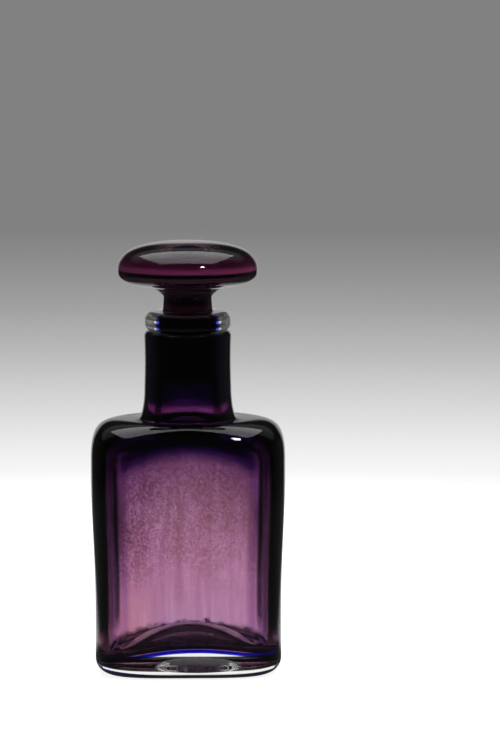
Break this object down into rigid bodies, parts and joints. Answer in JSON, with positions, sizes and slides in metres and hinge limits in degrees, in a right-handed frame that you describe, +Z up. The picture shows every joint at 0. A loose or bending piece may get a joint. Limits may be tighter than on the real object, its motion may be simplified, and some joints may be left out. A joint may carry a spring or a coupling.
{
  "type": "stoppered glass bottle",
  "caption": "Flat-sided cased glass bottle with a thick clear base, a round neck and a mushroom stopper that lifts straight out.",
  "frame": {"origin": "middle of the foot, on the surface that it stands on", "axes": "+Z up along the axis of neck and stopper, +X along the broad side, and the broad front face looks along -Y"},
  "size_m": [0.1116, 0.0808, 0.2486],
  "materials": {
    "clear_glass": "clear, fire-polished, slightly grey-yellow in the thick parts",
    "purple_glass": "purple, violet-blue where it is thin, nearly black where it is thick",
    "plum_glass": "dark plum, polished"
  },
  "bodies": {
    "bottle": {"casing": "clear_glass", "lining": "purple_glass"},
    "stopper": {"stopper_head": "plum_glass", "stopper_merese": "clear_glass", "stopper_core": "purple_glass", "stopper_sleeve": "clear_glass", "stopper_ring": "clear_glass"}
  },
  "joints": [
    {"name": "stopper_lift", "type": "slide", "parent": "bottle", "child": "stopper", "axis": [0, 0, 1], "range_m": [0, 0.07]}
  ]
}
